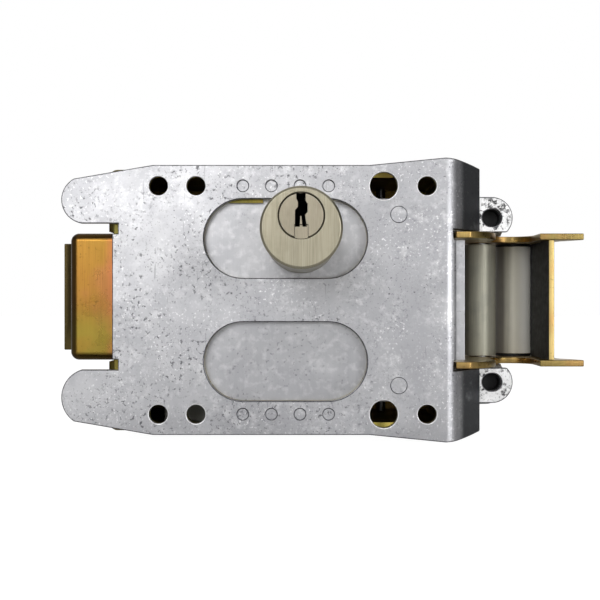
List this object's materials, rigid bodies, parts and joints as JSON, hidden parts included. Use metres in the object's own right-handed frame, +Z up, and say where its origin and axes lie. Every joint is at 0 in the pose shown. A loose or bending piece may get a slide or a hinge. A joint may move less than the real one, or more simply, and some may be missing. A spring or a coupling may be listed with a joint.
{
  "type": "electric rim lock with rotary hook",
  "caption": "Electric rim lock for a gate: galvanised base plate, solenoid case, key cylinder, release handle and a rotary hook that closes round a striker bar",
  "frame": {"origin": "centre of the base plate's gate side, midway between the two windows", "axes": "+X towards the rotary hook, +Z up as pictured, +Y away from the gate into the case"},
  "size_m": [0.1887, 0.1165, 0.099],
  "materials": {
    "galvanised_plate": "hot-dip galvanised, flecked and lightly scratched",
    "galvanised_sheet": "galvanised sheet",
    "yellow_zinc": "yellow passivated zinc",
    "yellow_zinc_cover": "yellow passivated zinc",
    "yellow_zinc_claw": "yellow passivated zinc",
    "yellow_zinc_handle": "yellow passivated zinc, iridescent",
    "zinc_screw": "bright zinc",
    "zinc_steel": "bright zinc",
    "hardened_steel": "ground steel",
    "roller_steel": "turned steel, oiled",
    "spring_steel": "drawn wire",
    "satin_nickel": "satin nickel plate, brushed",
    "satin_nickel_plug": "satin nickel plate",
    "brass_washer": "plain brass",
    "brass_nut": "plain brass",
    "black_nut": "black phosphate",
    "black_rubber": "matt rubber",
    "nylon_bobbin": "natural nylon",
    "coil_tape": "varnished winding under tape",
    "terminal_plastic": "grey plastic"
  },
  "bodies": {
    "case": {"base_plate": "galvanised_plate", "plate_rivets": "galvanised_plate", "lock_case": "yellow_zinc", "mechanism_panel": "galvanised_sheet", "outer_cover": "yellow_zinc_cover", "cover_screws": "zinc_screw", "cable_grommet": "black_rubber", "pivot_pin": "zinc_steel", "pivot_ring": "spring_steel", "pivot_washers": "brass_washer", "hinge_bracket_upper": "galvanised_sheet", "hinge_bracket_lower": "galvanised_sheet", "ear_nuts": "black_nut", "bracket_rivets": "zinc_steel", "claw_spring": "spring_steel", "pawl_axle": "hardened_steel", "pawl_axle_rings": "spring_steel", "solenoid_yoke": "zinc_steel", "solenoid_bobbin": "nylon_bobbin", "solenoid_coil": "coil_tape", "solenoid_core": "zinc_steel", "solenoid_screws": "zinc_screw", "plunger_spring": "spring_steel", "handle_spring": "spring_steel", "spring_post": "zinc_steel", "cylinder_body": "satin_nickel", "cylinder_nut": "brass_nut", "terminal_block": "terminal_plastic", "terminal_screws": "brass_nut"},
    "claw": {"claw_plate_upper": "yellow_zinc_claw", "claw_plate_lower": "yellow_zinc_claw", "claw_web": "yellow_zinc_claw", "claw_bar": "roller_steel", "claw_sleeve": "roller_steel"},
    "pawl": {"pawl_yoke": "zinc_steel", "pawl_nose": "hardened_steel", "link_pin": "hardened_steel"},
    "plunger": {"plunger": "hardened_steel", "plunger_link": "zinc_steel"},
    "plug": {"cylinder_plug": "satin_nickel_plug", "plug_clip": "spring_steel", "cylinder_cam": "zinc_steel", "cam_screw": "zinc_screw"},
    "handle": {"release_handle": "yellow_zinc_handle"}
  },
  "joints": [
    {"name": "claw_turn", "type": "hinge", "parent": "case", "child": "claw", "pos_m": [0.069, 0.044, 0], "axis": [0, 0, 1], "range_deg": [0, 60], "stiffness_Nm_per_rad": 0.02, "springref_deg": -34.38, "deforming": ["claw_spring"]},
    {"name": "pawl_turn", "type": "hinge", "parent": "case", "child": "pawl", "pos_m": [0.0375, 0.0573, 0], "axis": [0, 0, 1], "range_deg": [-5, 8]},
    {"name": "plunger_slide", "type": "slide", "parent": "case", "child": "plunger", "axis": [1, 0, 0], "range_m": [-0.003, 0.0047], "deforming": ["plunger_spring"]},
    {"name": "handle_slide", "type": "slide", "parent": "case", "child": "handle", "axis": [-1, 0, 0], "range_m": [-0.0047, 0.003], "deforming": ["handle_spring"]},
    {"name": "plug_turn", "type": "hinge", "parent": "case", "child": "plug", "pos_m": [0.0004, 0, 0.0256], "axis": [0, 1, 0], "range_deg": [-90, 0]}
  ],
  "couplings": [
    {"joint": "plunger_slide", "follows": "pawl_turn", "m_per_rad": 0.0333},
    {"joint": "handle_slide", "follows": "pawl_turn", "m_per_rad": -0.0333}
  ]
}
